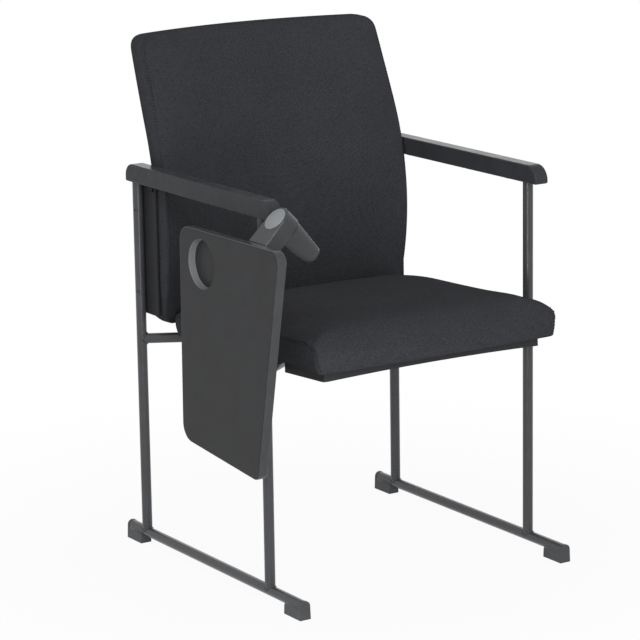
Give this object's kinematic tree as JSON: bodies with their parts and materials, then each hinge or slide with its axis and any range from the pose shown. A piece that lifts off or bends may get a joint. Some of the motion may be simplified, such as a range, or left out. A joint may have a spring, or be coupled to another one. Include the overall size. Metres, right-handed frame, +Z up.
{
  "type": "visitor chair with a folding writing tablet",
  "caption": "Upholstered visitor chair on round-tube sled sides, with slim armrests and a writing tablet with a cup recess that swings up from beside the right arm.",
  "frame": {"origin": "on the floor, below the middle of the whole chair's box", "axes": "+Z up, -Y is the way the sitter faces, -X is the sitter's right, the tablet's side"},
  "size_m": [0.6266, 0.6758, 0.911],
  "materials": {
    "frame_paint": "fine satin powder coat",
    "pivot_paint": "fine-textured black coat on a casting",
    "foot_plastic": "satin",
    "arm_plastic": "fine leather grain, satin",
    "tablet_plastic": "fine grain, matt",
    "shell_plastic": "fine grain, matt",
    "cap_grey": "satin",
    "upholstery": "plain woven wool mix over foam",
    "plywood": "raw",
    "zinc_steel": "zinc plated",
    "nylon": "natural"
  },
  "bodies": {
    "chair_frame": {"right_floor_runner": "frame_paint", "left_floor_runner": "frame_paint", "right_front_upright": "frame_paint", "right_rear_upright": "frame_paint", "left_front_upright": "frame_paint", "left_rear_upright": "frame_paint", "seat_brace_main": "frame_paint", "seat_brace_front_half": "frame_paint", "seat_brace_rear_half": "frame_paint", "seat_tabs": "frame_paint", "right_arm_rail": "frame_paint", "left_arm_rail": "frame_paint", "right_back_bracket": "frame_paint", "left_back_bracket": "frame_paint", "pivot_bracket": "frame_paint", "right_front_foot": "foot_plastic", "right_rear_foot": "foot_plastic", "left_front_foot": "foot_plastic", "left_rear_foot": "foot_plastic", "right_armrest": "arm_plastic", "left_armrest": "arm_plastic", "back_shell": "shell_plastic", "seat_pan": "shell_plastic", "back_cushion": "upholstery", "seat_cushion": "upholstery", "seat_board": "plywood", "pivot_housing": "pivot_paint", "pivot_bush": "nylon", "friction_washer": "nylon", "pivot_end_plug": "foot_plastic", "stop_pin": "zinc_steel"},
    "tablet": {"tablet_arm": "pivot_paint", "pivot_cap": "cap_grey", "tablet_board": "tablet_plastic", "pivot_bolt": "zinc_steel", "pivot_nut": "zinc_steel"}
  },
  "joints": [
    {"name": "tablet_swing", "type": "hinge", "parent": "chair_frame", "child": "tablet", "pos_m": [-0.26085, -0.25029, 0.6715], "axis": [-0.7071, 0, 0.7071], "range_deg": [0, 180]}
  ]
}
